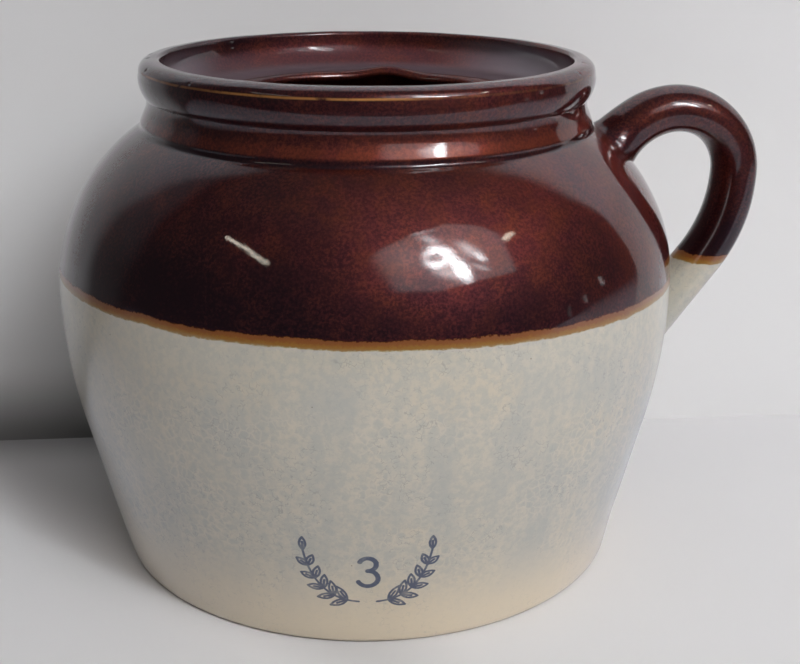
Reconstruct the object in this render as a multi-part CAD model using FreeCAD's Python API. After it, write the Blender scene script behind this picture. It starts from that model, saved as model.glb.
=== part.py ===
"""A stoneware bean pot: a turned body with a lid ledge, and a side handle luted onto it.

Frame: millimetres, +Z up.  The origin is on the pot's own axis, in the plane of the foot it
stands on.  The handle stands out along +X, so the XZ plane halves both pieces.
Each fired-clay piece is one solid in its own STEP file.
"""
import FreeCAD, Part
import math
import os

# ---- body: driving dimensions ---------------------------------------------------------------
belly_radius = 97.0        # widest part of the pot
belly_height = 87.5        # height of the widest part above the foot
flank_round = 165.0        # radius of the slow round from the flank into the belly
flank_lean = 14.6          # degrees that the straight lower flank leans out
shoulder_round = 58.5      # radius of the shoulder above the belly
wall = 7.0                 # wall thickness of flank, belly and shoulder
floor_thickness = 7.8      # clay between the hollow of the foot and the inside
foot_ring_width = 10.0     # flat ring that the pot stands on
foot_hollow = 1.2          # how far the middle of the base is lifted off the table
heel_round = 2.0           # rounded edge between foot ring and flank
inside_round = 16.0        # round between the floor and the inside of the flank

# ---- neck and lip: driving dimensions -------------------------------------------------------
collar_radius = 69.1       # foot of the narrow bead between shoulder and lip
collar_height = 6.9        # from the foot of the bead to the groove above it
collar_bulge = 0.9         # how far the bead swells past a straight line
groove_radius = 67.2       # groove between bead and lip
lip_radius = 69.65         # outside of the rolled lip
lip_height = 13.1          # from the groove to the top of the rim
lip_bulge = 0.45           # how far the face of the lip swells past a straight line
crown_drop = 4.5           # height of the rounded outer shoulder of the lip
crest_radius = 65.8        # highest line of the rim
inner_edge_radius = 64.1   # where the rim turns down into the mouth
inner_edge_drop = 1.7      # depth of that inner edge below the top of the rim
neck_fillet = 0.9          # glaze-filled corners of groove and collar

# ---- mouth: driving dimensions --------------------------------------------------------------
ledge_radius = 62.2        # outer limit of the flat ledge that carries a lid
ledge_drop = 11.3          # depth of the ledge below the top of the rim
throat_radius = 49.0       # clear opening inside the ledge
ledge_nose = 3.8           # thickness of the ledge at the throat
nose_round = 1.5           # rounded edges of the throat
ledge_fillet = 1.5         # corner between ledge and lip

# ---- handle: driving dimensions -------------------------------------------------------------
handle_width = 18.4        # across the strap
handle_thickness = 14.3    # through the strap
handle_standoff = 23.1     # from the belly to the strap's middle line, at its furthest
handle_top_drop = 17.3     # from the top of the rim down to the highest point of the middle line
rise_radius = 22.7         # middle line from the shoulder up to the top
rise_angle = 62.0          # degrees that this arc turns through
bend_radius = 20.7         # tight quarter turn over the top
drop_radius = 50.0         # slow turn back towards the body
drop_angle = 36.2          # degrees that this arc turns through
drop_run = 56.0            # straight run down into the flank
rise_run = 12.0            # straight run into the shoulder
root_swell = 1.15          # how much clay is smoothed round the strap where it is pressed on
swell_length = 10.0        # length of strap over which it swells

# ---- heights that follow from the dimensions above ------------------------------------------
flank_centre = (belly_radius - flank_round, belly_height)
shoulder_centre = (belly_radius - shoulder_round, belly_height)
shoulder_angle = math.degrees(math.acos((collar_radius - shoulder_centre[0]) / shoulder_round))
collar_foot_height = belly_height + shoulder_round * math.sin(math.radians(shoulder_angle))
groove_height = collar_foot_height + collar_height
rim_height = groove_height + lip_height
ledge_height = rim_height - ledge_drop
floor_height = foot_hollow + floor_thickness


def at(radius, height):
    """A point of the turned section, which lies in the XZ plane."""
    return FreeCAD.Vector(radius, 0, height)


def on_circle(centre, radius, degrees):
    """The point of a section arc at an angle above the level of its centre."""
    turn = math.radians(degrees)
    return at(centre[0] + radius * math.cos(turn), centre[1] + radius * math.sin(turn))


def down_the_flank(start, height):
    """Where the straight flank through start reaches a height."""
    return at(start.x - (start.z - height) * math.tan(math.radians(flank_lean)), height)


def line(start, end):
    return Part.LineSegment(start, end).toShape()


def arc(start, middle, end):
    return Part.Arc(start, middle, end).toShape()


def swollen(start, end, bulge):
    """An arc from start up to end that swells outwards past its chord."""
    chord = end - start
    outwards = FreeCAD.Vector(chord.z, 0, -chord.x).normalize()
    return arc(start, (start + end) * 0.5 + outwards * bulge, end)


def flank_to_collar(inset):
    """The flank, belly and shoulder, as far inside the outer surface as inset says.

    Returns the edges from the straight flank upwards, and the points at both ends.
    """
    belly = at(belly_radius - inset, belly_height)
    flank_top = on_circle(flank_centre, flank_round - inset, -flank_lean)
    flank_middle = on_circle(flank_centre, flank_round - inset, -flank_lean / 2)
    shoulder_middle = on_circle(shoulder_centre, shoulder_round - inset, shoulder_angle / 2)
    shoulder_top = on_circle(shoulder_centre, shoulder_round - inset, shoulder_angle)
    rounds = [arc(flank_top, flank_middle, belly), arc(belly, shoulder_middle, shoulder_top)]
    return rounds, flank_top, shoulder_top


def turned_neck(start):
    """Collar bead, groove and rolled lip, from the shoulder's end to the rim's inner edge."""
    groove = at(groove_radius, groove_height)
    lip_face = at(lip_radius, rim_height - crown_drop)
    crest = at(crest_radius, rim_height)
    inner_edge = at(inner_edge_radius, rim_height - inner_edge_drop)
    slant = math.sqrt(0.5)
    crown = at(crest_radius + (lip_radius - crest_radius) * slant, rim_height - crown_drop * (1 - slant))
    inner_round = at(inner_edge_radius + (crest_radius - inner_edge_radius) * (1 - slant),
                     rim_height - inner_edge_drop * (1 - slant))
    edges = [swollen(start, groove, collar_bulge), swollen(groove, lip_face, lip_bulge),
             arc(lip_face, crown, crest), arc(crest, inner_round, inner_edge)]
    return edges, inner_edge


def corner(solid, radius, height):
    """The edge of a turned solid that runs round its axis at a radius and height."""
    def miss(edge):
        ring = edge.Curve
        if not isinstance(ring, Part.Circle):
            return math.inf
        return abs(ring.Radius - radius) + abs(ring.Center.z - height)
    return min(solid.Edges, key=miss)


def rounded(solid, corners):
    """Round each corner, given as radius, height and the round's own radius."""
    for radius, height, size in corners:
        solid = solid.makeFillet(size, [corner(solid, radius, height)])
    return solid


def turn(edges):
    face = Part.Face(Part.Wire(Part.__sortEdges__(edges)))
    return face.revolve(at(0, 0), FreeCAD.Vector(0, 0, 1), 360)


def outer_form():
    """The outside of the body as a plug, to its rim and with no hollow in it."""
    rounds, flank_top, shoulder_top = flank_to_collar(0)
    neck, inner_edge = turned_neck(shoulder_top)
    foot = down_the_flank(flank_top, 0)
    axis_top = at(0, inner_edge.z)
    return turn([line(at(0, 0), foot), line(foot, flank_top)] + rounds + neck
                + [line(inner_edge, axis_top), line(axis_top, at(0, 0))])


def make_body():
    rounds, flank_top, shoulder_top = flank_to_collar(0)
    neck, inner_edge = turned_neck(shoulder_top)
    inner_rounds, inner_flank_top, inner_shoulder_top = flank_to_collar(wall)
    foot = down_the_flank(flank_top, 0)
    ring_inside = at(foot.x - foot_ring_width, 0)
    hollow_edge = at(ring_inside.x - foot_hollow, foot_hollow)
    floor_edge = down_the_flank(inner_flank_top, floor_height)
    ledge_edge = at(ledge_radius, ledge_height)
    nose_top = at(throat_radius, ledge_height)
    nose_foot = at(throat_radius, ledge_height - ledge_nose)
    base_middle = at(0, foot_hollow)
    floor_middle = at(0, floor_height)
    outside = [line(base_middle, hollow_edge), line(hollow_edge, ring_inside), line(ring_inside, foot),
               line(foot, flank_top)] + rounds + neck
    mouth = [line(inner_edge, ledge_edge), line(ledge_edge, nose_top), line(nose_top, nose_foot),
             line(nose_foot, inner_shoulder_top)]
    inside = inner_rounds + [line(inner_flank_top, floor_edge), line(floor_edge, floor_middle),
                             line(floor_middle, base_middle)]
    body = turn(outside + mouth + inside)
    return rounded(body, [
        (foot.x, 0, heel_round),
        (floor_edge.x, floor_height, inside_round),
        (collar_radius, collar_foot_height, neck_fillet),
        (groove_radius, groove_height, neck_fillet),
        (ledge_radius, ledge_height, ledge_fillet),
        (throat_radius, ledge_height, nose_round),
        (throat_radius, ledge_height - ledge_nose, nose_round),
    ])


def handle_route():
    """Stations along the strap's middle line: x, z, and the direction of travel in degrees.

    The line leaves the shoulder upwards, turns over the top and comes back down to the flank:
    a straight run, three arcs that meet without a kink, and a second straight run.
    """
    top_x = belly_radius + handle_standoff - bend_radius
    top_z = rim_height - handle_top_drop
    stations = []

    def follow_arc(centre, radius, start, end, steps):
        for step in range(steps + 1):
            angle = start + (end - start) * step / steps
            turn_now = math.radians(angle)
            stations.append((centre[0] + radius * math.cos(turn_now),
                             centre[1] + radius * math.sin(turn_now), angle - 90))

    def run(length, steps):
        x, z, heading = stations[-1]
        for step in range(1, steps + 1):
            reach = length * step / steps
            stations.append((x + reach * math.cos(math.radians(heading)),
                             z + reach * math.sin(math.radians(heading)), heading))

    follow_arc((top_x, top_z - rise_radius), rise_radius, 90 + rise_angle, 90, 5)
    first_x, first_z, heading = stations[0]
    shoulder_end = (first_x - rise_run * math.cos(math.radians(heading)),
                    first_z - rise_run * math.sin(math.radians(heading)), heading)
    stations.insert(0, shoulder_end)
    stations.pop()
    follow_arc((top_x, top_z - bend_radius), bend_radius, 90, 0, 6)
    stations.pop()
    follow_arc((top_x + bend_radius - drop_radius, top_z - bend_radius), drop_radius, 0, -drop_angle, 4)
    run(drop_run, 4)
    return stations


def strap_section(x, z, heading, swell):
    """The strap's oval section, square to its middle line, its long axis along Y."""
    middle = FreeCAD.Vector(x, 0, z)
    forward = FreeCAD.Vector(math.cos(math.radians(heading)), 0, math.sin(math.radians(heading)))
    oval = Part.Ellipse(FreeCAD.Vector(0, 0, 0), handle_width / 2 + swell, handle_thickness / 2 + swell)
    across = FreeCAD.Vector(0, 1, 0)
    placed = oval.toShape()
    through = forward.cross(across)
    placed.Placement = FreeCAD.Placement(middle, FreeCAD.Rotation(across, through, forward, "ZXY"))
    return Part.Wire([placed])


def make_handle():
    """The strap, lofted along its route and trimmed to seat on the body's surface."""
    outside = outer_form()
    stations = handle_route()
    sections = []
    for x, z, heading in stations:
        gap = outside.distToShape(Part.Vertex(x, 0, z))[0]
        nearness = max(0.0, 1 - gap / swell_length)
        sections.append(strap_section(x, z, heading, root_swell * nearness ** 2))
    strap = Part.makeLoft(sections, True, False)
    return strap.cut(outside)


def save(shape, name):
    os.makedirs("parts", exist_ok=True)
    shape.exportStep("parts/" + name + ".step")
    box = shape.BoundBox
    print(f"{name}: {len(shape.Solids)} solid, {shape.Volume / 1000:.1f} cm3, "
          f"{box.XLength:.1f} x {box.YLength:.1f} x {box.ZLength:.1f} mm")


body = make_body()
handle = make_handle()
save(body, "body")
save(handle, "handle")
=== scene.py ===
# %% [markdown]
# # A two-tone stoneware bean pot
# The pot is two pieces of fired clay: a body turned on a wheel, and a strap handle that was pulled by
# itself and pressed on. Both are covered in glass: a red-brown slip glaze from the rim to the belly, a
# cream glaze from there to the foot, and an amber line where the two dips meet.
# The measured model is loaded first. Everything made below sits in its frame: metres, +Z up, with the
# origin in the middle of the foot and the handle out along +X.

# %% Load the measured frame
import math

import bpy
import numpy as np
from mathutils import Matrix, Vector

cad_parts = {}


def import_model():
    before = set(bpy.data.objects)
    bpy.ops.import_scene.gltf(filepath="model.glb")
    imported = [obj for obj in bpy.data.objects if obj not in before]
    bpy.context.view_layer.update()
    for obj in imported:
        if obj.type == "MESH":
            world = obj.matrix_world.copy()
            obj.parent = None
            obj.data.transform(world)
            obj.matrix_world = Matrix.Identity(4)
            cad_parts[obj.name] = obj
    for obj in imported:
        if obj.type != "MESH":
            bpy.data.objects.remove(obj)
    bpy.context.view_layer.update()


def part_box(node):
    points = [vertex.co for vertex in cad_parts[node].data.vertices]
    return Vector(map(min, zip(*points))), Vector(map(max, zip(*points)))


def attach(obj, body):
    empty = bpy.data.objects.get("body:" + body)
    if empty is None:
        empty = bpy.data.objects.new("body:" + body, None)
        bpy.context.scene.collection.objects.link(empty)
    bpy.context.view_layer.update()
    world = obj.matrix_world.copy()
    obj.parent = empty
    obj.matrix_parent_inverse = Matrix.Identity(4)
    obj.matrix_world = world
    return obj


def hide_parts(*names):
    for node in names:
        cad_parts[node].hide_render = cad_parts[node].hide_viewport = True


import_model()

MM = 0.001
belly_radius, _, rim_height = Vector(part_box("body")[1]) / MM
print(f"pot {2 * belly_radius:.1f} mm across, {rim_height:.1f} mm high")

# %% [markdown]
# ## The viewpoint
# The camera stands close in front of the pot and looks down at it, so that the mouth shows as a narrow
# oval. A close camera needs a modest lens, which is what makes the belly swell towards the viewer.

# %% Camera
camera_place = Vector((-26.4, -397.8, 207.9)) * MM
look_right, look_down, tilt = math.radians(5.38), math.radians(19.51), math.radians(0.30)
forward = Vector((math.sin(look_right) * math.cos(look_down), math.cos(look_right) * math.cos(look_down),
        -math.sin(look_down)))
level_right = forward.cross(Vector((0, 0, 1))).normalized()
level_up = level_right.cross(forward)
right = level_right * math.cos(tilt) + level_up * math.sin(tilt)
up = level_up * math.cos(tilt) - level_right * math.sin(tilt)

camera = bpy.data.objects.new("camera", bpy.data.cameras.new("camera"))
camera.data.lens = 57.4
camera.data.sensor_width = 36
camera.data.clip_start = 0.01
camera.matrix_world = Matrix.Translation(camera_place) @ Matrix((right, up, -forward)).transposed().to_4x4()
bpy.context.collection.objects.link(camera)
bpy.context.scene.camera = camera
print(f"camera {(camera_place.length):.3f} m from the middle of the foot")

# %% [markdown]
# ## The turned section
# A thrown pot is one outline spun about the wheel's axis. The outline could be a spline through a few
# points, but a potter's profile is simple geometry: a straight flank, a slow round into the belly, a
# tighter round over the shoulder, a bead, and a rolled lip. So it is built from straight runs and arcs in
# millimetres, each a dense row of points, and then joined with soft corners, because glaze fills every
# hollow corner and draws back from every sharp one.

# %% Straight runs, arcs and soft corners
FINE = 0.2        # spacing of the outline's own points


def straight(start, end):
    start, end = np.array(start), np.array(end)
    share = np.linspace(0, 1, 2 + int(np.linalg.norm(end - start) / FINE))[:, None]
    return start + (end - start) * share


def round_about(centre, radii, start, end):
    """An arc, or a quarter of an oval, about a centre: radii across and up, angles in degrees."""
    steps = 2 + int(max(radii) * math.radians(abs(end - start)) / FINE)
    turn = np.radians(np.linspace(start, end, steps))
    return np.stack([centre[0] + radii[0] * np.cos(turn), centre[1] + radii[1] * np.sin(turn)], axis=1)


def by_way_of(start, rounding, end):
    """A straight run to a rounding, the rounding itself, and a straight run on from it."""
    return np.vstack([straight(start, rounding[0]), rounding[1:], straight(rounding[-1], end)[1:]])


def walked(line):
    """The distance walked along a line at each of its points."""
    return np.r_[0, np.cumsum(np.hypot(*np.diff(line, axis=0).T))]


def joined(before, after, reach):
    """Two lines that share a corner, with a round there that starts and ends reach from it."""
    if reach == 0:
        return np.vstack([before, after[1:]])
    so_far, onwards = walked(before), walked(after)
    cut = so_far[-1] - reach
    start = np.array([np.interp(cut, so_far, before[:, k]) for k in (0, 1)])
    end = np.array([np.interp(reach, onwards, after[:, k]) for k in (0, 1)])
    corner = before[-1]
    arrive, leave = (corner - start) / reach, (end - corner) / reach
    pull = math.cos(math.acos(max(-1.0, min(1.0, float(arrive @ leave)))) / 2)
    t = np.linspace(0, 1, 3 + int(2 * reach / FINE))[:, None]
    weights = (1 - t) ** 2, 2 * t * (1 - t) * pull, t ** 2
    bend = (weights[0] * start + weights[1] * corner + weights[2] * end) / sum(weights)
    return np.vstack([before[so_far < cut - 1e-6], bend, after[onwards > reach + 1e-6]])


# %% [markdown]
# The same sizes as the measured body, from the foot up to the rim and down the inside again. The list
# below is read like a walk round the cut clay: each stretch, and how far before its end the next corner
# starts to round.

# %% Walk round the section
belly_height, flank_round, flank_lean, shoulder_round = 87.5, 165.0, 14.6, 58.5
wall, floor_height, foot_hollow, foot_ring = 7.0, 9.0, 1.2, 10.0
collar_radius, groove_radius, lip_radius, crest_radius, inner_edge_radius = 69.5, 67.15, 69.65, 63.9, 62.6
bead_round, lip_height, crown_drop, inner_edge_drop, lip_round, crown_fullness = 2.2, 13.1, 4.5, 1.5, 9.0, 2.7
ledge_radius, ledge_drop, throat_radius, ledge_nose = 62.2, 11.3, 49.0, 3.8

groove_height = rim_height - lip_height
ledge_height = rim_height - ledge_drop
shoulder_angle = math.degrees(math.acos((collar_radius - belly_radius + shoulder_round) / shoulder_round))
flank_centre = (belly_radius - flank_round, belly_height)
shoulder_centre = (belly_radius - shoulder_round, belly_height)


def flank_and_shoulder(inset):
    """The straight flank's top, and the rounds from there to the collar, inside the surface by inset."""
    belly = round_about(flank_centre, [flank_round - inset] * 2, -flank_lean, 0)
    shoulder = round_about(shoulder_centre, [shoulder_round - inset] * 2, 0, shoulder_angle)
    return belly[0], np.vstack([belly, shoulder[1:]])


def down_flank(top, height):
    return (top[0] - (top[1] - height) * math.tan(math.radians(flank_lean)), height)


flank_top, outer_rounds = flank_and_shoulder(0)
inner_flank_top, inner_rounds = flank_and_shoulder(wall)
foot = down_flank(flank_top, 0)
ring_inside = (foot[0] - foot_ring, 0)
hollow_edge = (ring_inside[0] - foot_hollow, foot_hollow)
floor_edge = down_flank(inner_flank_top, floor_height)
groove, lip_face = (groove_radius, groove_height - 0.2), (lip_radius, rim_height - crown_drop)
bead_centre = (collar_radius + 0.1 - bead_round, outer_rounds[-1][1] + 1.15)
bead_rounding = round_about(bead_centre, (bead_round, bead_round), -20, 22)
lip_rounding = round_about((lip_radius - lip_round, lip_face[1] - 1.3), (lip_round, lip_round), -40, 0)
ledge_edge, nose_top = (ledge_radius, ledge_height + 1.1), (throat_radius + 0.9, ledge_height - 1.5)
nose_foot = (throat_radius + 0.9, ledge_height - ledge_nose)
quarter = round_about((0, 0), (1, 1), 0, 90)
crown = (crest_radius, rim_height - crown_drop) + np.clip(quarter, 0, 1) ** (2 / crown_fullness) \
    * (lip_radius - crest_radius, crown_drop)
inner_edge = round_about((crest_radius, rim_height - inner_edge_drop),
                         (crest_radius - inner_edge_radius, inner_edge_drop), 90, 180)
stretches = [
    ("base", straight((0, foot_hollow), hollow_edge), 0.6),
    ("ring step", straight(hollow_edge, ring_inside), 0.5),
    ("foot ring", straight(ring_inside, foot), 1.6),
    ("flank", straight(foot, flank_top), 0),
    ("belly and shoulder", outer_rounds, 1.1),
    ("bead", by_way_of(outer_rounds[-1], bead_rounding, groove), 1.9),
    ("lip", by_way_of(groove, lip_rounding, lip_face), 0.5),
    ("crown", crown, 0),
    ("inner edge", inner_edge, 0.5),
    ("mouth", straight(inner_edge[-1], ledge_edge), 7.4),
    ("ledge", straight(ledge_edge, nose_top), 2.1),
    ("nose", straight(nose_top, nose_foot), 0.9),
    ("underside", straight(nose_foot, inner_rounds[-1]), 0.8),
    ("inside", inner_rounds[::-1], 0),
    ("inner flank", straight(inner_flank_top, floor_edge), 12.4),
    ("floor", straight(floor_edge, (0, floor_height)), 0),
]
section, starts = stretches[0][1], {"base": 0.0}
for (name, line, reach), (next_name, next_line, _) in zip(stretches, stretches[1:]):
    starts[next_name] = walked(section)[-1]
    section = joined(section, next_line, reach)
along = walked(section)
slope = np.gradient(section, along, axis=0)
section_normal = np.stack([slope[:, 1], -slope[:, 0]], axis=1)
section_normal /= np.linalg.norm(section_normal, axis=1)[:, None]
print(f"outline: {len(section)} points, {along[-1]:.0f} mm long; the rim is {starts['crown']:.0f} mm along it")

# %% [markdown]
# ## Where the two glazes meet
# The potter dipped the top of the pot upside down in brown glaze, a little crooked, so the line is a
# slanted plane through the pot rather than a level ring. The plane is kept as a height and two slopes;
# both the clay's mesh and the glaze colours read it.

# %% The dip plane
dip_height, dip_slope_x, dip_slope_y = 91.73, -0.0174, -0.0380
outside = along < starts["crown"]


def along_at_height(height):
    """How far along the outline the outside of the pot reaches a height."""
    rising = outside & (along > starts["flank"])
    return np.interp(height, section[rising, 1], along[rising])


def dip_along(turn):
    """How far along the outline the dip line runs, at an angle round the pot."""
    tilt_here = dip_slope_x * np.cos(turn) + dip_slope_y * np.sin(turn)
    return along_at_height(dip_height + belly_radius * tilt_here)


level_dip = float(along_at_height(dip_height))
print(f"the dip line runs {level_dip:.1f} mm along the outline, give or take "
      f"{belly_radius * math.hypot(dip_slope_x, dip_slope_y):.1f} mm")

# %% [markdown]
# ## A mesh that is fine where it has to be
# Spinning the outline gives a grid of rows and columns. Even spacing would waste faces on the plain flank
# and starve the lip, so rows are laid by cost: a row is due when the outline has turned a few degrees or
# run a few millimetres, whichever comes first. The dip line, the stamped mark and the nicks in the rim
# ask for finer spacing where they are.

# %% Rows and columns
row_gap, row_turn, column_gap = 3.4, 4.5, 3.4
dip_grid, mark_grid, nick_grid, underside_gap = 0.45, 0.27, 0.35, 5.0
mark_turn, mark_height, mark_half_width, mark_half_height = math.radians(-93.8), 26.7, 21.5, 14.0
nicks = [        # degrees round the rim, distance along from the crown's start, size, depth
    (174.0, 5.2, 1.3, 0.42), (-177.7, 5.9, 0.9, 0.30), (-162.2, 3.3, 1.0, 0.30), (-138.5, 3.0, 0.7, 0.45),
    (-18.7, 6.3, 0.9, 0.32), (-32.0, 3.6, 0.8, 0.30),
]


def spread(places, cost):
    """Even steps of cost: the places where rows or columns go."""
    total = np.r_[0, np.cumsum((cost[1:] + cost[:-1]) / 2 * np.diff(places))]
    return np.interp(np.linspace(0, total[-1], 1 + math.ceil(total[-1])), total, places)


heading = np.unwrap(np.arctan2(slope[:, 1], slope[:, 0]))
turning = np.abs(np.gradient(heading, along))
gap_here = np.full(len(along), row_gap)
gap_here[np.abs(along - level_dip - 1) < 3.2] = dip_grid
mark_along = float(along_at_height(mark_height))
gap_here[np.abs(along - mark_along) < mark_half_height] = mark_grid
gap_here[along > starts["underside"] + 4] = underside_gap
rows = spread(along, np.hypot(1 / gap_here, turning / math.radians(row_turn)))

circle = np.linspace(-math.pi, math.pi, 14401)
around_gap = np.full(len(circle), column_gap)
mark_radius = float(np.interp(mark_along, along, section[:, 0]))
around_gap[np.abs(circle - mark_turn) * mark_radius < mark_half_width] = mark_grid
for nick_turn, _, nick_size, _ in nicks:
    apart = np.abs((circle - math.radians(nick_turn) + math.pi) % (2 * math.pi) - math.pi)
    close = (apart * crest_radius < 1.8 * nick_size) & (around_gap > nick_grid)
    around_gap[close] = nick_grid
columns = spread(circle, belly_radius / around_gap)[:-1]
print(f"{len(rows)} rows by {len(columns)} columns")

# %% [markdown]
# ## The hand in it
# A wheel leaves small faults, and a glossy glaze shows all of them: the neck leans a little, the rim is
# not quite level, the throat is uneven with a lump at its back, and the lip has nicks. They are added
# here to the perfect surface. Most are offsets that fade out below the shoulder, so that the belly keeps
# its measured size; only the flank is a little fuller, most of all just above the foot.

# %% The pot's surface
skin, foot_skin, glaze_step, ripple_height = -0.22, -0.1, 0.16, 0.035
fuller_at = [0, 12, 28, 45, 70, 84, 92, 104, 128]
fuller_by = [1.45, 1.05, 0.75, 0.35, 0.15, 0.1, 0.0, 0.2, 0.2]
lump_turn, lump_width = math.radians(78), math.radians(10)
lump_radius, lump_reach, lump_height = 51.0, 3.2, 2.3
neck_lean, rim_lean, foot_shift = 0.35, (0.25, -0.15), 0.4
dip_blend, ripple_length, nick_stretch, nick_falloff, rim_margin = 32, 2.3, 1.3, 2.2, 0.002


def smooth(value, low, high):
    share = np.clip((value - low) / (high - low), 0, 1)
    return share * share * (3 - 2 * share)


def pot_surface(s, turn):
    """Points of the pot, in metres, at distances s along the outline and angles turn round the axis."""
    s, turn = np.broadcast_arrays(s, turn)
    near_dip = np.cos(np.clip((s - level_dip) / dip_blend, -1, 1) * math.pi / 2) ** 2
    s = s + (dip_along(turn) - level_dip) * near_dip
    r, z = np.interp(s, along, section[:, 0]), np.interp(s, along, section[:, 1])
    normal_r, normal_z = (np.interp(s, along, section_normal[:, k]) for k in (0, 1))

    def before(place, reach):
        """1 up to reach before a place on the outline, fading to 0 at the place."""
        return smooth(-s, -place, reach - place)

    on_outside = s < starts["crown"]
    push = np.where(on_outside & (s > starts["flank"]), skin, foot_skin)
    push = push + glaze_step * smooth(s - dip_along(turn), -0.25, 0.35) * on_outside
    throwing = np.sin(s / ripple_length + 0.8 * np.sin(turn)) * smooth(s, level_dip + 12, level_dip + 30)
    push = push + ripple_height * throwing * on_outside
    for nick_turn, reach, size, depth in nicks:
        apart = (turn - math.radians(nick_turn) + math.pi) % (2 * math.pi) - math.pi
        away = np.hypot(apart * crest_radius, (s - starts["crown"] - reach) * nick_stretch)
        push = push - depth * np.exp(-(away / size) ** 2 * nick_falloff)
    r, z = r + push * normal_r, z + push * normal_z

    lifted = smooth(s, level_dip, level_dip + 10) * before(starts["underside"], 5)
    high = smooth(z, 131, 152) * lifted
    fuller = np.interp(z, fuller_at, fuller_by) * smooth(s, starts["foot ring"], starts["flank"])
    r = r + np.where(on_outside, fuller, 0)
    r = r + high * (0.10 * np.cos(2 * turn + 0.7) + 0.06 * np.sin(5 * turn) + 0.12)
    throat = smooth(s, starts["ledge"] + 3, starts["nose"]) * before(starts["underside"] + 6, 6)
    r = r + throat * (0.5 * np.sin(2 * turn + 0.4) + 0.35 * np.sin(3 * turn + 2.0) + 0.12 * np.sin(9 * turn))
    z = z + throat * (0.25 * np.sin(4 * turn) + 0.15 * np.sin(7 * turn + 1.0))
    lump = np.exp(-((turn - lump_turn) / lump_width) ** 2 - ((r - lump_radius) / lump_reach) ** 2)
    lump = lump * smooth(s, starts["mouth"] + 4, starts["ledge"] + 1) * before(starts["underside"] + 8, 8)
    z = z + lump_height * lump
    wave = 0.03 * np.sin(11 * turn + 1.0) + 0.02 * np.sin(23 * turn) + 0.03
    z = np.minimum(z + high * wave * smooth(z, 146, 156), rim_height - rim_margin)
    lean = neck_lean * smooth(z, 86, 110) * lifted
    x = r * np.cos(turn) + high * rim_lean[0] + lean + foot_shift * smooth(-z, -14, 0)
    y = r * np.sin(turn) + high * rim_lean[1]
    return np.stack([x, y, z], axis=-1) * MM


# %% [markdown]
# Rows times columns make the grid. Its two ends close on the axis, in the middle of the base and of the
# floor, so the body is one watertight skin. Each vertex keeps its distance along the outline, which tells
# the glazes later whether it is outside, inside, or on the bare foot.

# %% Build the body
def new_piece(name, points, faces):
    mesh = bpy.data.meshes.new(name)
    mesh.from_pydata(points.tolist(), [], faces)
    mesh.validate()
    mesh.shade_smooth()
    piece = bpy.data.objects.new(name, mesh)
    bpy.context.collection.objects.link(piece)
    print(f"{name}: {len(mesh.vertices)} vertices, {len(mesh.polygons)} faces")
    return piece


def closed_skin(name, rings, ends):
    """A watertight piece: rings of points in their order, and one point that closes each end."""
    ring_count, size = rings.shape[:2]
    here = np.arange(size)
    following = np.roll(here, -1)
    lower = np.arange(ring_count - 1)[:, None] * size
    upper = lower + size
    corners = [lower + here, lower + following, upper + following, upper + here]
    faces = np.stack(corners, axis=-1).reshape(-1, 4).tolist()
    last_ring, pole = (ring_count - 1) * size, ring_count * size
    faces += np.stack([following, here, np.full(size, pole)], axis=1).tolist()
    faces += np.stack([last_ring + here, last_ring + following, np.full(size, pole + 1)], axis=1).tolist()
    return new_piece(name, np.vstack([rings.reshape(-1, 3), ends]), faces)


def keep_value(piece, name, values):
    """Store one number per vertex, for the piece's material to read."""
    values = np.asarray(values, dtype=np.float32)
    piece.data.attributes.new(name, "FLOAT", "POINT").data.foreach_set("value", values)


ring_rows = rows[1:-1]
poles = np.array([[0, 0, foot_hollow], [0, 0, floor_height]]) * MM
body = closed_skin("pot_body", pot_surface(ring_rows[:, None], columns[None, :]), poles)
vertex_along = np.r_[np.repeat(ring_rows, len(columns)), 0, along[-1]]
vertex_turn = np.r_[np.tile(columns, len(ring_rows)), 0, 0]
keep_value(body, "along", vertex_along)

# %% [markdown]
# ## The stamped mark
# Under the cream glaze sits a capacity mark, stamped in cobalt blue before firing: here a plain numeral
# between two leafy sprigs. It has no thickness, so it is not a piece but a part of the glaze's colour.
# It is drawn as pen strokes in millimetres on the unrolled flank, and every vertex near it keeps its
# distance to the nearest stroke. The glaze turns that distance into a crisp line, finer than the mesh.

# %% Strokes of the mark
def curve(start, pull, end, steps=14):
    t = np.linspace(0, 1, steps)[:, None]
    return (1 - t) ** 2 * np.array(start) + 2 * t * (1 - t) * np.array(pull) + t ** 2 * np.array(end)


def leaf(root, degrees, length, width):
    """A leaf's outline: two curves from root to tip, and a vein."""
    ahead = np.array([math.cos(math.radians(degrees)), math.sin(math.radians(degrees))])
    aside = np.array([-ahead[1], ahead[0]])
    root = np.array(root)
    tip, middle = root + ahead * length, root + ahead * length * 0.45
    edges = [curve(root, middle + side * aside * width, tip) for side in (1, -1)]
    return edges + [curve(root, middle, root + ahead * length * 0.62, 4)]


def numeral_three(height):
    """Two bowls, one above the other, each open to the left."""
    small, large = height * 0.225, height * 0.275
    def bowl(middle, radius, start, end):
        turn = np.radians(np.linspace(start, end, 22))
        return np.stack([radius * np.cos(turn), middle + radius * np.sin(turn)], axis=1)
    return [bowl(height / 2 - small, small, 155, -90), bowl(-height / 2 + large, large, 90, -155)]


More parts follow.
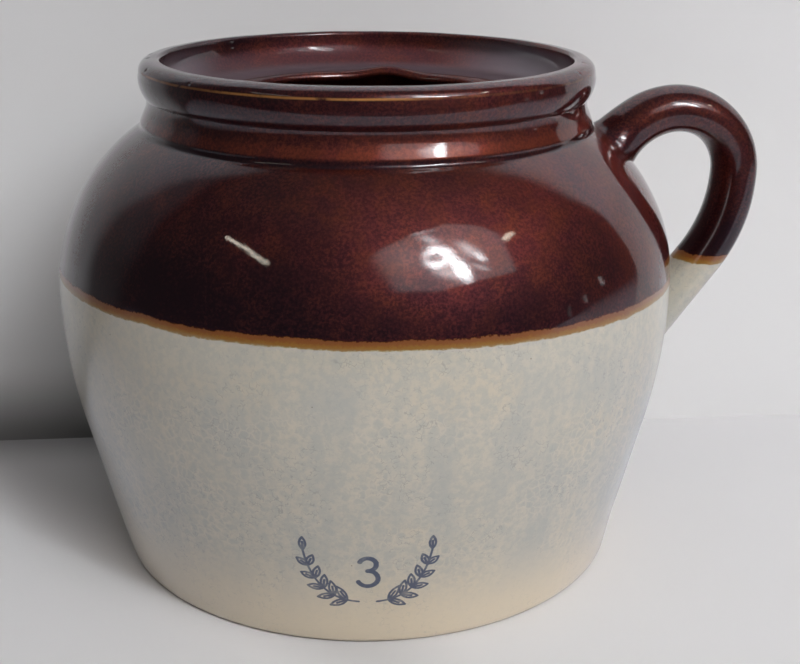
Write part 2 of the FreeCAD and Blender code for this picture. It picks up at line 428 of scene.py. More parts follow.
stem = curve((2.6, -11.2), (15.5, -10.2), (17.6, 7.6), 30)
sprig = [stem]
for place, turn_out in ((4, 42), (9, 46), (14, 44), (19, 40), (24, 36)):
    ahead = stem[place + 1] - stem[place]
    bearing = math.degrees(math.atan2(ahead[1], ahead[0]))
    size = 6.6 - 0.09 * place
    for side, share in ((-1, 0.86), (1, 0.94)):
        sprig += leaf(stem[place], bearing + side * turn_out, size * share, 1.9)
sprig += leaf(stem[-1], 92, 4.6, 1.7)
mirrored = [line * np.array([-1, 1]) for line in sprig]
thin_pen, thick_pen, far_from_ink = 0.31, 0.70, 5.0
strokes = [(line, thin_pen) for line in sprig + mirrored] + [(line, thick_pen) for line in numeral_three(10.5)]

# %% Measure the distance to the ink
mark_x = (vertex_turn - mark_turn) * mark_radius
mark_y = vertex_along - mark_along
near_mark = (np.abs(mark_x) < mark_half_width + 3) & (np.abs(mark_y) < mark_half_height + 3)
spots = np.stack([mark_x[near_mark], mark_y[near_mark]], axis=1)
nearest = np.full(len(spots), far_from_ink)
for line, half_width in strokes:
    for start, end in zip(line, line[1:]):
        run = end - start
        share = np.clip((spots - start) @ run / (run @ run), 0, 1)[:, None]
        nearest = np.minimum(nearest, np.linalg.norm(spots - start - share * run, axis=1) - half_width)
ink = np.full(len(vertex_along), far_from_ink)
ink[near_mark] = nearest
keep_value(body, "ink_distance", ink)
print(f"mark: {sum(len(line) - 1 for line, _ in strokes)} strokes over {near_mark.sum()} vertices")

# %% [markdown]
# ## The handle
# The potter pulls a tapering strap of soft clay, presses one end onto the shoulder, lets it loop over and
# presses the other end onto the flank. Its middle line is a straight run, three arcs and a straight run.
# The strap could be a curve with a bevel, but a plain bevel cannot swell where the clay is smoothed onto
# the body. So rings of an oval section are laid along the line, and each point near the body is pushed
# outwards by how close it is, which makes the hollow fillet a thumb leaves. On its way down the strap
# rolls a little and gets thinner, as soft clay does when it is bent.

# %% The handle's middle line
handle_width, handle_thickness, standoff, top_drop = 18.4, 14.3, 23.1, 17.3
rise_radius, rise_angle, bend_radius, drop_radius, drop_angle = 22.7, 62.0, 20.7, 50.0, 36.2
rise_run, drop_run, ring_gap = 12.0, 56.0, 0.6
top_x, top_z = belly_radius + standoff - bend_radius, rim_height - top_drop


def travelling(centre, radius, start, end):
    """Stations along an arc walked clockwise: x, z and heading in degrees."""
    steps = 2 + int(radius * math.radians(start - end) / ring_gap)
    turn = np.linspace(start, end, steps)
    x, z = centre[0] + radius * np.cos(np.radians(turn)), centre[1] + radius * np.sin(np.radians(turn))
    return np.stack([x, z, turn - 90], axis=1)


def run_on(station, length):
    """Stations straight on from one, or straight back to it where length is negative."""
    reach = np.linspace(0, length, 2 + int(abs(length) / ring_gap))
    ahead = math.radians(station[2])
    x, z = station[0] + reach * math.cos(ahead), station[1] + reach * math.sin(ahead)
    run = np.stack([x, z, np.full(len(reach), station[2])], axis=1)
    return run[:0:-1] if length < 0 else run[1:]


rise = travelling((top_x, top_z - rise_radius), rise_radius, 90 + rise_angle, 90)
bend = travelling((top_x, top_z - bend_radius), bend_radius, 90, 0)
drop = travelling((top_x + bend_radius - drop_radius, top_z - bend_radius), drop_radius, 0, -drop_angle)
stations = np.vstack([run_on(rise[0], -rise_run), rise, bend[1:], drop[1:], run_on(drop[-1], drop_run)])
print(f"handle: {len(stations)} stations, top of its middle line at x {top_x:.1f}, z {top_z:.1f} mm")

# %% [markdown]
# The body's own outline says how far each point of the strap is from the clay. Points that would sink
# into the wall are drawn back to just under the surface, so the strap ends there as a seat.

# %% Sweep, flare and seat the strap
outer = section[(along > starts["flank"]) & outside]
outer_normal = section_normal[(along > starts["flank"]) & outside]
root_reach, root_swell, seat_depth = 1.9, 1.0, 0.35


def off_body(points):
    """Distance of each point from the body's outside, in mm, and the direction straight away from it."""
    radius = np.hypot(points[:, 0], points[:, 1])
    flat = np.stack([radius, points[:, 2]], axis=1)
    nearest = np.argmin(((flat[:, None] - outer[None]) ** 2).sum(axis=2), axis=1)
    normal = outer_normal[nearest]
    distance = ((flat - outer[nearest]) * normal).sum(axis=1)
    return distance, np.hstack([normal[:, :1] * points[:, :2] / radius[:, None], normal[:, 1:]])


around = np.linspace(0, 2 * math.pi, 97)[:-1]
inner_share, inner_fullness, top_flare, side_flare, web = 0.48, 2.1, 1.7, 2.6, 0.9
most_roll, narrower, thinner, end_swell = math.radians(15), 0.015, 0.09, 0.25
inner_half, squarer = np.sin(around) < 0, 2 / inner_fullness
across = np.where(inner_half, np.sign(np.cos(around)) * np.abs(np.cos(around)) ** squarer, np.cos(around))
through = np.where(inner_half, -np.abs(np.sin(around)) ** squarer, np.sin(around))
rings = []
for place, (x, z, heading_here) in enumerate(stations):
    ahead = math.radians(heading_here)
    outwards = np.array([-math.sin(ahead), 0, math.cos(ahead)])
    share = place / len(stations)
    wide = handle_width / 2 * (0.99 + 0.012 * math.sin(7 * share + 1))
    thick = handle_thickness * (0.99 + 0.010 * math.sin(9 * share + 4))
    full, shallow = thick * (1 - inner_share), thick * inner_share
    depth = np.where(inner_half, shallow, full) * through - (full - shallow) / 2
    rolled = smooth(-heading_here, 10, 70)
    wide, depth, roll = wide * (1 - narrower * rolled), depth * (1 - thinner * rolled), most_roll * rolled
    sideways = wide * across * math.cos(roll) + depth * math.sin(roll)
    depth = depth * math.cos(roll) - wide * across * math.sin(roll)
    ring_points = np.array([x, 0.25 * math.sin(5 * share), z]) \
        + sideways[:, None] * np.array([0, 1, 0]) + depth[:, None] * outwards
    distance, away = off_body(ring_points)
    if share < 0.5:
        clear = np.clip(distance, 0, None)
        upwards = top_flare * np.clip(1 - clear / 13, 0, 1) ** 2 * np.clip(through, 0, 1)
        aside = side_flare * np.clip(1 - clear / 7.5, 0, 1) ** 2.5 * across
        aside = aside * np.clip((through + 0.6) / 0.6, 0, 1)
        ring_points += upwards[:, None] * outwards + aside[:, None] * np.array([0, 1, 0])
    from_root = max(0.0, float(np.min(distance)))
    under = (web * smooth(-from_root, -24, -8) + 0.35) * smooth(heading_here, -110, -40)
    ring_points -= (under * np.clip(-through, 0, 1))[:, None] * outwards
    over = end_swell * smooth(-heading_here, 90, 105) * smooth(heading_here, -128, -112)
    ring_points += (over * np.clip(through, 0, 1))[:, None] * outwards
    distance, away = off_body(ring_points)
    thumbed = 0.3 + 1.3 * np.clip(np.sin(around), 0, 1) ** 2 if share < 0.5 else 1.0
    closeness = np.clip(1 - distance / (root_reach * thumbed), 0, 1)
    spoke = ring_points - ring_points.mean(axis=0)
    spoke /= np.linalg.norm(spoke, axis=1)[:, None]
    tuck = 0.7 * np.clip(1 - np.abs(distance) / 0.9, 0, 1) ** 2 * (share < 0.5)
    ring_points += spoke * (root_swell * thumbed * (1 - np.sqrt(1 - closeness ** 2)) - tuck)[:, None]
    distance, away = off_body(ring_points)
    sunk = np.clip(-seat_depth - distance, 0, None)
    ring_points += away * sunk[:, None]
    rings.append(ring_points)
centres = np.array([rings[0].mean(axis=0), rings[-1].mean(axis=0)])
distance, away = off_body(centres)
centres += away * np.clip(-seat_depth - distance, 0, None)[:, None]
handle = closed_skin("pot_handle", np.array(rings) * MM, centres * MM)

# %% [markdown]
# ## Glazes
# Everything that colours a surface is worked out from its place on the pot, with noise in place of
# pictures. A few helpers keep the node trees short: each adds one node or a few and returns the output.

# %% Node helpers
class Recipe:
    """The node tree of a material, a lamp or the world, with one short call for each kind of step."""

    def __init__(self, owner, shader="Principled BSDF"):
        owner.use_nodes = True
        self.owner, self.tree = owner, owner.node_tree
        self.shader = self.tree.nodes[shader]
        self.place = self.node("ShaderNodeTexCoord").outputs["Object"]

    def node(self, kind, values=(), **settings):
        made = self.tree.nodes.new(kind)
        for key, value in settings.items():
            setattr(made, key, value)
        for socket, value in dict(values).items():
            self.put(value, made.inputs[socket])
        return made

    def put(self, value, socket):
        if isinstance(value, bpy.types.NodeSocket):
            self.tree.links.new(value, socket)
        elif socket.type == "RGBA" and len(value) == 3:
            socket.default_value = (*value, 1)
        else:
            socket.default_value = value

    def math(self, operation, first, second=0.0, third=0.0):
        return self.node("ShaderNodeMath", {0: first, 1: second, 2: third}, operation=operation).outputs[0]

    def times(self, value, *others):
        for other in others:
            value = self.math("MULTIPLY", value, other)
        return value

    def plus(self, value, *others):
        for other in others:
            value = self.math("ADD", value, other)
        return value

    def less(self, value, taken):
        return self.math("SUBTRACT", value, taken)

    def dimmed(self, strength, *where):
        """1, less strength where all the others are 1."""
        return self.less(1.0, self.times(strength, *where))

    def ease(self, value, low, high, start=0.0, end=1.0):
        """start where value is below low, end where it is above high, and a smooth change between."""
        values = {"Value": value, "From Min": low, "From Max": high, "To Min": start, "To Max": end}
        return self.node("ShaderNodeMapRange", values, interpolation_type="SMOOTHSTEP").outputs["Result"]

    def vector(self, operation, first, second=(0, 0, 0)):
        made = self.node("ShaderNodeVectorMath", {0: first, 1: second}, operation=operation)
        return made.outputs["Value" if operation in ("DOT_PRODUCT", "LENGTH") else "Vector"]

    def axes(self):
        return self.node("ShaderNodeSeparateXYZ", {0: self.place}).outputs

    def stretched(self, x, y, z):
        return self.node("ShaderNodeMapping", {"Vector": self.place, "Scale": (x, y, z)}).outputs[0]

    def noise(self, size, detail=2.0, roughness=0.5, place=None, output="Fac"):
        """Soft noise whose blotches are about size mm across, from 0 to 1."""
        values = {"Vector": place or self.place, "Scale": 1 / (size * MM),
                  "Detail": detail, "Roughness": roughness}
        return self.node("ShaderNodeTexNoise", values).outputs[output]

    def cells(self, size, feature, place=None):
        """A net of cells about size mm across: its Distance, and for F1 a Color that differs by cell."""
        values = {"Vector": place or self.place, "Scale": 1 / (size * MM)}
        return self.node("ShaderNodeTexVoronoi", values, feature=feature).outputs

    def first_channel(self, colour):
        return self.node("ShaderNodeSeparateColor", {0: colour}).outputs[0]

    def mix(self, share, first, second):
        made = self.node("ShaderNodeMix", data_type="RGBA")
        for index, value in ((0, share), (6, first), (7, second)):
            self.put(value, made.inputs[index])
        return made.outputs[2]

    def layered(self, colour, layers):
        """A colour with others laid over it in turn, each by its own share."""
        for share, over in layers:
            colour = self.mix(share, colour, over)
        return colour

    def read(self, name):
        return self.node("ShaderNodeAttribute", attribute_name=name).outputs["Fac"]

    def bump(self, height, distance, under=None):
        values = {"Height": height, "Distance": distance * MM, "Strength": 1.0}
        if under is not None:
            values["Normal"] = under
        return self.node("ShaderNodeBump", values).outputs[0]


# %% [markdown]
# ### Height above the dip line
# Both pieces went into the same bucket, so both read the same slanted plane, roughened by two sizes of
# noise: slow drips a few millimetres long, and the fine ragged edge that wet slip leaves.

# %% Height above the dip line
drip_size, drip_height, ragged_size, ragged_height = 14, 1.6, 3.2, 1.1


def above_dip(coat):
    """Millimetres above the edge of the brown glaze."""
    slant = coat.vector("DOT_PRODUCT", coat.place, (-dip_slope_x / MM, -dip_slope_y / MM, 1 / MM))
    drips = coat.times(coat.less(coat.noise(drip_size, 1, 0.5), 0.5), drip_height)
    ragged = coat.times(coat.less(coat.noise(ragged_size, 3, 0.65), 0.5), ragged_height)
    return coat.plus(coat.less(slant, dip_height), coat.plus(drips, ragged))


# %% [markdown]
# ### The brown slip glaze
# Iron-rich slip melts to a dark red glass. It is nearly black where it lies thick, redder where it is
# thin, and full of tiny iron crystals that catch the light. Where it is thin it drifts between plum and
# rust, and is rustiest on the bead. A plain brown paint would look flat, so the shader has two lobes: a
# soft red one for the crystals, and a clear coat for the glass over them.

# %% Brown glaze colour
brown_thick, brown_plum, brown_rust = (0.022, 0.0082, 0.0125), (0.232, 0.045, 0.038), (0.252, 0.054, 0.027)
fringe, amber_edge, amber = (0.33, 0.28, 0.17), (0.235, 0.115, 0.018), (0.185, 0.058, 0.012)
brown_edge = (0.41, 0.19, 0.19)
grain_size, patch_size, depth_size, rust_size, grain_depth = 0.85, 7, 16, 8, 0.36


def crystals(coat):
    """The fine grain of iron crystals, from 0 between them to 1 on one."""
    grain = coat.ease(coat.noise(grain_size, 3, 0.7), 0.36, 0.66)
    return coat.times(grain, coat.ease(coat.noise(patch_size, 3, 0.6), 0.30, 0.62, 0.55, 1.0))


def brown_colour(coat, grain, thin):
    """The slip glaze, where thin runs from 0, a thick coat, to 1, drawn thin over an edge."""
    across, _, height = coat.axes()
    # Besides noise, the thin share and the grain, this sum makes the brown redder towards +X, the side the
    # lamps light from, which is painted light. It also makes the brown darker low down.
    depth = coat.plus(
        coat.ease(coat.noise(depth_size, 3, 0.55), 0.35, 0.70, 0.07, 0.22), thin,
        coat.ease(height, 0.095, 0.128, -0.27, 0.0), coat.ease(across, -0.070, 0.010, 0.0, 0.30),
        coat.ease(across, 0.050, 0.090, 0.0, 0.24), coat.times(grain, grain_depth))
    on_bead = coat.times(coat.ease(height, 0.128, 0.141, 0.0, 0.5), coat.ease(height, 0.144, 0.1475, 1, 0))
    rust = coat.plus(coat.ease(coat.noise(rust_size, 3, 0.6), 0.34, 0.70), on_bead)
    thin_colour = coat.mix(coat.math("MINIMUM", rust, 1.0), brown_plum, brown_rust)
    return coat.mix(coat.ease(depth, 0.0, 1.3), brown_thick, thin_colour)


# %% [markdown]
# ### The cream glaze
# The lower glaze is opaque and greyish, with long blue-grey runs. Towards the foot it is plainer and yellower,
# and paler, which is painted light bounced from the pale floor. A net of fine crackle shows best at the front,
# and a few dark iron specks lie anywhere.

# %% Cream glaze colour
cream, cream_warm, cream_cool = (0.497, 0.456, 0.369), (0.525, 0.455, 0.335), (0.376, 0.374, 0.340)
cream_foot_floor_light, crackle_line = (0.67, 0.565, 0.410), (0.58, 0.51, 0.405)
hairline, iron_speck = (0.25, 0.25, 0.25), (0.10, 0.07, 0.045)


def crackle(coat, size, wander):
    """Distance into the cells of a crackle net, 0 on a line and up to about 0.5, and a number for each cell."""
    shift = coat.noise(size * 0.8, 1.0, 0.5, output="Color")
    place = coat.vector("ADD", coat.place, coat.vector("MULTIPLY", shift, (wander * MM,) * 3))
    cell = coat.first_channel(coat.cells(size, "F1", place)["Color"])
    return coat.cells(size, "DISTANCE_TO_EDGE", place)["Distance"], cell


def cream_colour(coat, above):
    side = coat.axes()[0]
    runs = coat.noise(12, 3, 0.6, coat.stretched(1, 1, 0.22))
    base = coat.layered(cream, [
        (coat.ease(runs, 0.40, 0.66, 0.0, 0.7), cream_cool),
        (coat.ease(coat.noise(26, 3, 0.55), 0.48, 0.70, 0.0, 0.6), cream_warm),
        (coat.ease(above, -16, -1, 0.0, 0.55), cream),
        (coat.ease(coat.noise(2.2, 4, 0.65), 0.38, 0.62, 0.0, 0.6), cream_cool),
        # Paler and yellower towards the foot: the paleness is painted light from the floor.
        (coat.ease(above, -90, -60, 0.85, 0.0), cream_foot_floor_light),
        (coat.ease(side, -0.090, -0.020, 0.30, 0.0), cream_warm)])
    where = coat.times(
        coat.ease(coat.noise(24, 2), 0.36, 0.58), coat.ease(above, -26, -9, 1, 0), coat.ease(above, -84, -62))
    into_cell, cell = crackle(coat, 2.6, 1.5)
    patch = coat.times(coat.ease(into_cell, 0.06, 0.26), coat.ease(cell, 0.15, 0.75, 0.15, 1.0))
    line = coat.times(coat.ease(into_cell, 0.01, 0.11, 1, 0), coat.ease(coat.noise(6, 2), 0.36, 0.56))
    hair = coat.times(
        coat.ease(crackle(coat, 1.7, 1.3)[0], 0.01, 0.07, 1, 0), coat.ease(coat.noise(1.9, 1), 0.50, 0.58),
        coat.ease(coat.noise(18, 2), 0.44, 0.60, 0.15, 0.55), coat.ease(above, -88, -66, 0.35, 1.0))
    specks = coat.cells(3.4, "F1")
    chosen = coat.ease(coat.first_channel(specks["Color"]), 0.90, 0.92)
    dots = coat.times(coat.ease(specks["Distance"], 0.03, 0.08, 0.75, 0.0), chosen)
    return coat.layered(base, [
        (coat.times(patch, where, 0.52), cream_cool), (coat.times(line, where, 0.38), crackle_line),
        (hair, hairline), (dots, iron_speck)])


# %% [markdown]
# ### One coat over the whole pot
# Cream below the line, amber for the last three millimetres where the brown runs thin over the cream, and
# brown above. The coat's own waviness is a very slight bump: broad under the glass, finer on top of it.

# %% Gloss and colour together
glass_ior = 1.5


def glazed(coat, thin, inside=0.0, dull=0.0):
    """Colour and gloss shared by both pieces: inside is 1 where the pot is brown at any height, dull 1 where
    the coat is made matt."""
    above = coat.math("MAXIMUM", above_dip(coat), coat.math("MULTIPLY_ADD", inside, 160.0, -100.0))
    grain = crystals(coat)
    soft = coat.plus(above, coat.times(grain, 0.5))
    band = coat.mix(coat.ease(soft, 0.15, 0.6), fringe, amber_edge)
    brown = coat.layered(band, [
        (coat.ease(soft, 0.9, 2.3), amber), (coat.ease(soft, 2.75, 3.2), brown_colour(coat, grain, thin))])
    deep = coat.ease(soft, 2.7, 3.15)
    glassy = coat.less(1.0, dull)
    peel = coat.bump(coat.noise(0.6, 2, 0.6), 0.009)
    finish = {
        "IOR": glass_ior, "Coat IOR": glass_ior, "Coat Roughness": 0.03,
        "Specular Tint": coat.mix(deep, (1, 1, 1), brown_edge),
        "Metallic": coat.times(coat.ease(deep, 0, 1, 0.0, 0.85), glassy),
        "Coat Weight": coat.times(coat.ease(deep, 0, 1, 0.6, 1.0), coat.ease(glassy, 0, 1, 0.15, 1.0)),
        "Roughness": coat.ease(deep, 0, 1, 0.35, 0.52),
        "Normal": coat.bump(coat.noise(16, 1, 0.5), 0.10),
        "Coat Normal": coat.bump(coat.noise(9, 1, 0.5), 0.04, peel)}
    for socket, value in finish.items():
        coat.put(value, coat.shader.inputs[socket])
    return coat.mix(coat.ease(above, -0.10, 0.12), cream_colour(coat, above), brown)


# %% [markdown]
# The body adds its own places, found by their distance along the outline: a redder band on the bead, painted
# shade in the crease under it, thicker glaze on the lip, a matt coat low in the mouth and on the ledge with
# painted reflection in grey-purple there and on the mouth's sides, a worn line of amber on the edge of the lip,
# the blue mark, and bare clay under the foot.

# %% The body's glaze
# Painted reflection: grey-purple tones on the mouth's lower wall, on its sides and on the ledge stand in for a
# mirrored ceiling and wall.
mouth_wall_painted_reflection, mouth_sides_painted_reflection, ledge_painted_reflection = (0.052, 0.036, 0.046), (0.190, 0.170, 0.195), (0.080, 0.057, 0.067)
worn_clay, cobalt = (0.56, 0.25, 0.075), (0.013, 0.032, 0.085)
clay_dark, clay_pale = (0.42, 0.30, 0.18), (0.55, 0.42, 0.27)
glaze = Recipe(bpy.data.materials.new("body_glaze"))
s_here, across = glaze.read("along"), glaze.axes()[0]


def past(stretch, start, end, low=0.0, high=1.0):
    """low until start mm past the beginning of a stretch of the outline, and high from end mm past it."""
    return glaze.ease(s_here, starts[stretch] + start, starts[stretch] + end, low, high)


def ring_at(place, flat, reach, strength=1.0):
    """A ring round the pot: strength within flat mm of a place on the outline, nothing beyond reach."""
    return glaze.ease(glaze.math("ABSOLUTE", glaze.less(s_here, place)), flat, reach, strength, 0.0)


bead_middle, crease = (starts["bead"] + starts["lip"]) / 2 - 1.5, starts["bead"] + 0.2
# A redder band on the bead, less a darker ring in the crease under it, which is painted shade.
bead_band_crease_shade = glaze.less(ring_at(bead_middle, 1.2, 3.6, 0.22), ring_at(crease, 0.4, 1.7, 0.5))
lip_thick = glaze.times(past("lip", -1, 3, 0.0, 0.14), past("mouth", 0, 2, 1.0, 0.0))
to_nose = past("nose", -2.8, -1.8, 1.0, 0.0)
dull_here = glaze.times(past("ledge", -6.5, -3.0), to_nose)
painted_haze_share = glaze.plus(glaze.ease(across, -0.064, -0.044, 0.7, 0.0), glaze.ease(across, 0.026, 0.058, 0.0, 0.9))
worn = glaze.times(
    ring_at(starts["crown"] + 1.75, 0.12, 0.5), glaze.ease(glaze.noise(4, 3, 0.6), 0.28, 0.52),
    glaze.ease(across, -0.052, -0.034, 0.35, 1.0), glaze.ease(across, -0.006, 0.014, 1.0, 0.12))
inked = glaze.plus(glaze.read("ink_distance"), glaze.times(glaze.noise(0.8, 2), 0.22))
ink_share = glaze.times(
    glaze.ease(inked, 0.02, 0.26, 0.92, 0), glaze.ease(glaze.noise(3, 2), 0.25, 0.55, 0.72, 1))
colour = glazed(glaze, glaze.less(bead_band_crease_shade, lip_thick), past("crown", 2, 4), dull_here)
colour = glaze.layered(colour, [
    # Painted reflection in grey-purple over the matt mouth, its sides and the ledge.
    (glaze.times(dull_here, 0.40), mouth_wall_painted_reflection),
    (glaze.times(painted_haze_share, past("inner edge", 1, 4), to_nose), mouth_sides_painted_reflection),
    (glaze.times(past("ledge", 0.2, 4.0), to_nose), ledge_painted_reflection),
    (worn, worn_clay), (ink_share, cobalt),
    (past("flank", -1.2, 0.4, 1.0, 0.0), glaze.mix(glaze.noise(3, 4, 0.6), clay_dark, clay_pale))])
glaze.put(colour, glaze.shader.inputs["Base Color"])
body.data.materials.append(glaze.owner)
print(f"body glaze: {len(glaze.tree.nodes)} nodes")

# %% [markdown]
# The handle has the same coat, a little thicker and darker all over. Both pieces are then tied to the
# measured model: each rides the pot's one rigid body and stands in for the measured piece of its name.

# %% The handle's glaze, and the ties to the frame
handle_thin = -0.42
glaze = Recipe(bpy.data.materials.new("handle_glaze"))
glaze.put(glazed(glaze, handle_thin), glaze.shader.inputs["Base Color"])
handle.data.materials.append(glaze.owner)
for piece, node, slot in ((body, "body", "body_glaze"), (handle, "handle", "handle_glaze")):
    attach(piece, "root")
    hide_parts(node)

# %% [markdown]
# ## The table and the wall behind it
# The table is a wide pale sheet. A second sheet close behind the pot curves up out of it into a wall, as
# paper hangs from a roll in a studio. The wall is no wider than it has to be, since the glaze mirrors it
# and it ends where that reflection ends. Right behind the pot it bows back in a shallow bay, so that it
# never cuts the clay, and seen from behind it is clear, so that it never hides the pot.

# %% Table and backdrop
table_half, wall_left, wall_right, right_slant = 2.5, -1.3, 0.49, 0.42
sweep = [        # back from the axis, and up
    (0.0715, 0.0001), (0.0745, 0.012), (0.082, 0.028), (0.092, 0.048), (0.101, 0.070), (0.108, 0.095),
    (0.1115, 0.120), (0.112, 0.150), (0.112, 0.86)]
bay_left, bay_right, bay_depth, bay_steps, bay_top = -0.080, 0.092, 0.060, 24, (0.05, 0.125)

corners = np.array([(-1, -1, 0), (1, -1, 0), (1, 1, 0), (-1, 1, 0)]) * table_half
table = new_piece("table", corners, [(0, 1, 2, 3)])
bay_share = np.linspace(0, 1, bay_steps + 1)
bay = zip(bay_left + (bay_right - bay_left) * bay_share, bay_depth * np.sin(math.pi * bay_share) ** 2)
folds = [(wall_left, 0, 0), *[(x, 0, back) for x, back in bay], (wall_right, right_slant, 0)]
sheet_points = np.array([[x + slant * z, y + back * (1 - smooth(z, *bay_top)), z]
        for x, slant, back in folds for y, z in sweep])
count = len(sweep)
sheet_faces = [[k, k + count, k + count + 1, k + 1] for k in range(count * len(folds) - count)
        if (k + 1) % count]
backdrop = new_piece("backdrop", sheet_points, sheet_faces)

# %% [markdown]
# Cloth and paper are matt, and their colours carry painted shade: the pot's shadow on the left of the cloth and
# at the foot of the wall, a dark crease where the sheets meet, and a wall that darkens towards its left end,
# its top and its right end. So each colour is dimmed by a few shares. What the glaze mirrors is a painted
# reflection: glossy rays find the sheets bluer than the camera does, the high wall brighter, and the cloth dark
# far in front of the pot.

# %% Cloth and paper
# The mirrored colours are painted reflection: what glossy rays see instead of the sheets' own colour.
cloth_colour, cloth_mirrored, paper_colour = (0.71, 0.705, 0.715), (0.69, 0.725, 0.83), (0.685, 0.685, 0.69)
paper_mirrored_low, paper_mirrored_high = (0.71, 0.715, 0.735), (0.86, 0.89, 0.97)


def matt(sheet, pale, mirrored, shares):
    """A matt colour dimmed by each of a list of shares, which paint shade and reflection, and the painted
    reflection colour that the glaze mirrors instead.
    """
    sheet.put(0.9, sheet.shader.inputs["Roughness"])
    pale = sheet.mix(sheet.node("ShaderNodeLightPath").outputs["Is Glossy Ray"], pale, mirrored)
    sheet.put(sheet.mix(sheet.times(*shares), (0, 0, 0), pale), sheet.shader.inputs["Base Color"])


cloth = Recipe(bpy.data.materials.new("pale_cloth"))
across, forth, _ = cloth.axes()
# Painted shade: the pot's shadow on the left of the cloth and a dark crease at the foot of the wall. Glossy
# rays see the cloth dark far in front of the pot, which is a painted reflection.
painted_shade_left = cloth.ease(across, -0.03, 0.03, 1.0, 0.0)
in_shade = cloth.ease(cloth.plus(across, forth), -0.125, -0.075)
cloth_crease_shade = cloth.ease(forth, 0.045, 0.074)
in_mirror = cloth.node("ShaderNodeLightPath").outputs["Is Glossy Ray"]
matt(cloth, cloth_colour, cloth_mirrored, [
    cloth.dimmed(0.38, in_shade, painted_shade_left), cloth.dimmed(0.35, cloth_crease_shade, painted_shade_left),
    cloth.dimmed(0.93, cloth.ease(forth, -0.41, -0.37, 1.0, 0.0), in_mirror)])
roll = Recipe(bpy.data.materials.new("pale_paper"))
across, _, height = roll.axes()
painted_shade_left = roll.ease(across, -0.02, 0.03, 1.0, 0.0)
from_right = roll.plus(roll.vector("DOT_PRODUCT", roll.place, (-1, 0, right_slant)), wall_right)
mirrored = roll.mix(roll.ease(height, 0.20, 0.32), paper_mirrored_low, paper_mirrored_high)
# Painted shade: the pot's shadow at the foot of the wall on the left, and the wall darker towards its left end,
# its top and its right end.
matt(roll, paper_colour, mirrored, [
    roll.dimmed(0.72, roll.ease(height, 0.0, 0.030, 1.0, 0.0), painted_shade_left),
    roll.dimmed(0.20, roll.ease(height, 0.02, 0.085, 1.0, 0.0), painted_shade_left),
    roll.ease(across, -0.375, -0.275, 0.33, 1.0), roll.ease(across, -0.30, -0.15, 0.8, 1.0),
    roll.ease(height, 0.45, 0.80, 1.0, 0.12),
    roll.ease(roll.math("DIVIDE", from_right, roll.ease(height, 0.12, 0.8, 0.01, 0.42)), 0.0, 1.0)])
behind = roll.node("ShaderNodeNewGeometry").outputs["Backfacing"]
clear = roll.node("ShaderNodeBsdfTransparent").outputs[0]
veil = roll.node("ShaderNodeMixShader", {0: behind, 1: roll.shader.outputs[0], 2: clear})
roll.put(veil.outputs[0], roll.tree.nodes["Material Output"].inputs["Surface"])
table.data.materials.append(cloth.owner)
backdrop.data.materials.append(roll.owner)

# %% [markdown]
# ## Light
# A glossy pot is lit by what it mirrors, so the lamps are made as shapes first and as brightness second.
# One large window stands in front to the right, dim and soft-edged, with bright sky showing through it;
# a thin tube hangs to the left, a small lamp to the right, and three narrow windows stand at the far
# right. A plain area lamp mirrors as a hard white rectangle. Its brightness may also vary over its face,
# which is how the window gets its shape. Two more soft lamps add light without a reflection of their own,
# as large white walls would. The window is slightly blue and the stronger of these two slightly red, so
# that together they are neutral on the sheets.

# %% Lamps
aim, lamp_distance = Vector((0, 0, 0.10)), 1.2


def lamp(name, azimuth, elevation, width, height, radiance, distance=lamp_distance, roll=0.0,
         warmth=(1, 1, 1)):
    """An area lamp that faces the pot. Azimuth is measured from the front towards the handle's side."""
    a, e = math.radians(azimuth), math.radians(elevation)
    towards = Vector((math.sin(a) * math.cos(e), -math.cos(a) * math.cos(e), math.sin(e)))
    light = bpy.data.lights.new(name, "AREA")
    light.shape, light.size, light.size_y = "RECTANGLE", width, height
    light.energy, light.color = radiance * math.pi * width * height, warmth
    holder = bpy.data.objects.new(name, light)
    across = Vector((0, 0, 1)).cross(towards).normalized()
    facing = Matrix((across, towards.cross(across), towards)).transposed().to_4x4()
    turned = Matrix.Rotation(math.radians(roll), 4, "Z")
    holder.matrix_world = Matrix.Translation(aim + towards * distance) @ facing @ turned
    bpy.context.collection.objects.link(holder)
    print(f"{name}: {light.energy:.2f} W")
    return holder


window_width, window_height = 1.10, 0.86
window = lamp("window", 30, 42, window_width, window_height, 1.0, warmth=(0.92, 0.97, 1.0))
lamp("tube", -55.5, 39, 0.40, 0.012, 24, roll=-13.5, warmth=(1, 0.93, 0.78))
lamp("small_lamp", 60, 40.5, 0.11, 0.035, 14, roll=15, warmth=(1, 0.92, 0.75))
key = lamp("key", 28, 34, 1.0, 0.8, 2.36, distance=1.4, warmth=(1, 0.862, 0.814))
overhead = lamp("overhead", 8, 66, 1.4, 1.4, 0.55, distance=1.6)
key.visible_glossy = overhead.visible_glossy = False
for azimuth, elevation, radiance in ((85.3, 5.4, 3.6), (75.8, 1.0, 2.0), (68.4, -2.1, 0.9)):
    lamp("far_window", azimuth, elevation, 0.016, 0.085, radiance, roll=8)

# %% [markdown]
# The window's face is measured in metres from its middle. Its outline is seven straight edges, each a
# smooth step from dark to light, and the bright sky is a few overlapping ovals, bent by noise.

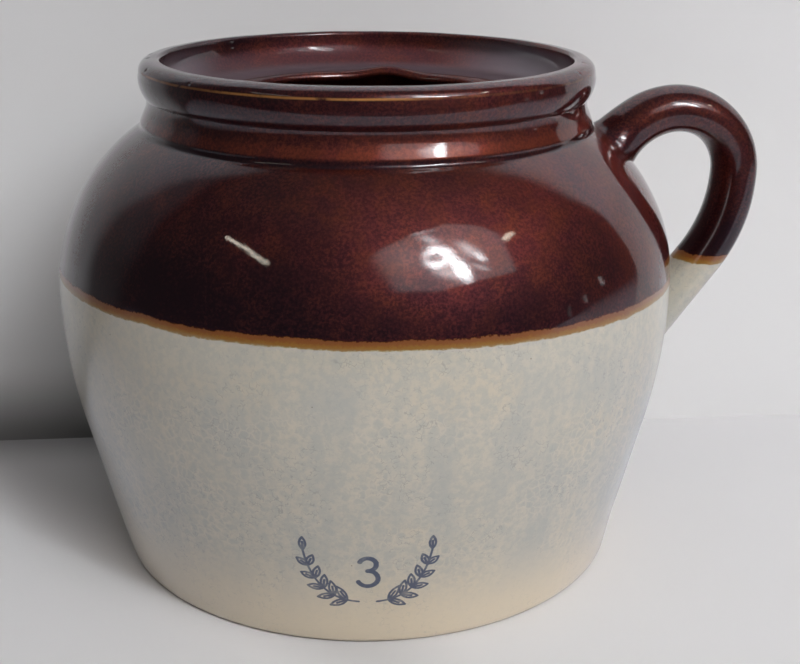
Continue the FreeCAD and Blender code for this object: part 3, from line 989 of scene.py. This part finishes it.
# %% The window's face
face = Recipe(window.data, "Emission")
face.place = face.node("ShaderNodeMapping", {
    "Vector": face.node("ShaderNodeNewGeometry").outputs["Parametric"],
    "Location": (-window_width / 2, -window_height / 2, 0),
    "Scale": (window_width, window_height, 1)}).outputs[0]
edges = [        # the way an edge faces, its distance from the middle, and how soft it is
    ((0.309, -0.951), 0.300, 0.03), ((-0.430, -0.903), 0.377, 0.05), ((-0.776, -0.631), 0.402, 0.04),
    ((-0.993, -0.115), 0.431, 0.03), ((-0.152, 0.988), 0.357, 0.015), ((0.236, 0.972), 0.410, 0.06),
    ((1.0, 0.0), 0.480, 0.16)]
pane = 1.0
for (toward_x, toward_y), reach, softness in edges:
    inside_edge = face.plus(face.vector("DOT_PRODUCT", face.place, (toward_x, toward_y, 0)), reach)
    pane = face.times(pane, face.ease(inside_edge, -softness / 2, softness / 2))
swirl_reach = 0.11
swirl = face.node("ShaderNodeTexNoise", {"Vector": face.place, "Scale": 9.0, "Detail": 5.0,
        "Roughness": 0.62}).outputs["Color"]
bent = face.vector("ADD", face.vector("MULTIPLY", swirl, (swirl_reach, swirl_reach, 0)), face.place)


def oval(x, y, half_length, half_width, degrees, edge):
    """1 inside an oval on the window's face, falling to 0 over the outer share edge of it."""
    inner = face.node("ShaderNodeMapping", {
        "Vector": bent, "Location": (x + swirl_reach / 2, y + swirl_reach / 2, 0),
        "Rotation": (0, 0, math.radians(degrees)), "Scale": (half_length, half_width, 1)},
        vector_type="TEXTURE").outputs[0]
    return face.ease(face.vector("LENGTH", inner), 1 - edge, 1.0, 1.0, 0.0)


# %% [markdown]
# The brightest sky is a ring with a short stroke below it. Paler ovals lie about it, each with its share of
# that brightness, on a soft glow and a faint even light over the whole pane.

# %% The sky in the window
sky_radiance, glow_radiance, pane_radiance = 35.0, 1.5, 1.35
ring = face.times(oval(-0.070, -0.010, 0.142, 0.118, 25, 0.6),
        face.dimmed(0.90, oval(-0.084, -0.008, 0.094, 0.056, -18, 0.65)),
        face.dimmed(0.85, oval(-0.195, 0.012, 0.085, 0.090, 0, 1.0)))
sky = face.math("MAXIMUM", ring, oval(0.045, -0.165, 0.245, 0.072, -80, 0.7))
for x, y, half_length, half_width, degrees, edge, share in (
        (-0.045, -0.180, 0.190, 0.105, -52, 0.95, 0.24), (0.165, 0.000, 0.150, 0.062, -50, 0.9, 0.27),
        (0.215, -0.085, 0.085, 0.034, -50, 0.8, 0.60), (-0.060, 0.160, 0.130, 0.080, -60, 1.0, 0.24),
        (0.195, -0.175, 0.125, 0.028, -38, 0.85, 0.20), (0.135, -0.020, 0.090, 0.080, -50, 1.0, 0.10),
        (-0.290, 0.050, 0.190, 0.140, 70, 1.0, 0.022), (-0.060, 0.290, 0.115, 0.019, 6, 0.8, 0.36)):
    sky = face.math("MAXIMUM", sky, face.times(oval(x, y, half_length, half_width, degrees, edge), share))
glow = oval(0.0, -0.08, 0.38, 0.30, -60, 0.9)
brightness = face.plus(face.times(sky, sky_radiance), face.times(glow, glow_radiance), pane_radiance)
face.put(face.times(brightness, pane), face.shader.inputs["Strength"])
print(f"window: {len(face.tree.nodes)} nodes")

# %% [markdown]
# The room in front of the pot is dim, so the brown glaze stays deep; the ceiling is a little brighter,
# and it is brightest behind. The world's brightness depends only on the direction.

# %% The room
seen_strength, room_colour = 0.72, (0.93, 0.95, 1.0)
world = bpy.data.worlds.new("room")
bpy.context.scene.world = world
room = Recipe(world, "Background")
room.place = room.node("ShaderNodeTexCoord").outputs["Generated"]
_, toward_back, upward = room.axes()
ambient = room.math("MAXIMUM", room.ease(toward_back, 0.25, 0.7, 0.045, 0.42),
        room.ease(upward, 0.6, 0.97, 0.0, 0.09))
seen = room.times(room.node("ShaderNodeLightPath").outputs["Is Camera Ray"], seen_strength)
room.put(room.math("MAXIMUM", ambient, seen), room.shader.inputs["Strength"])
room.put(room_colour, room.shader.inputs["Color"])

# %% Finish
bpy.context.scene.view_settings.view_transform = "Standard"
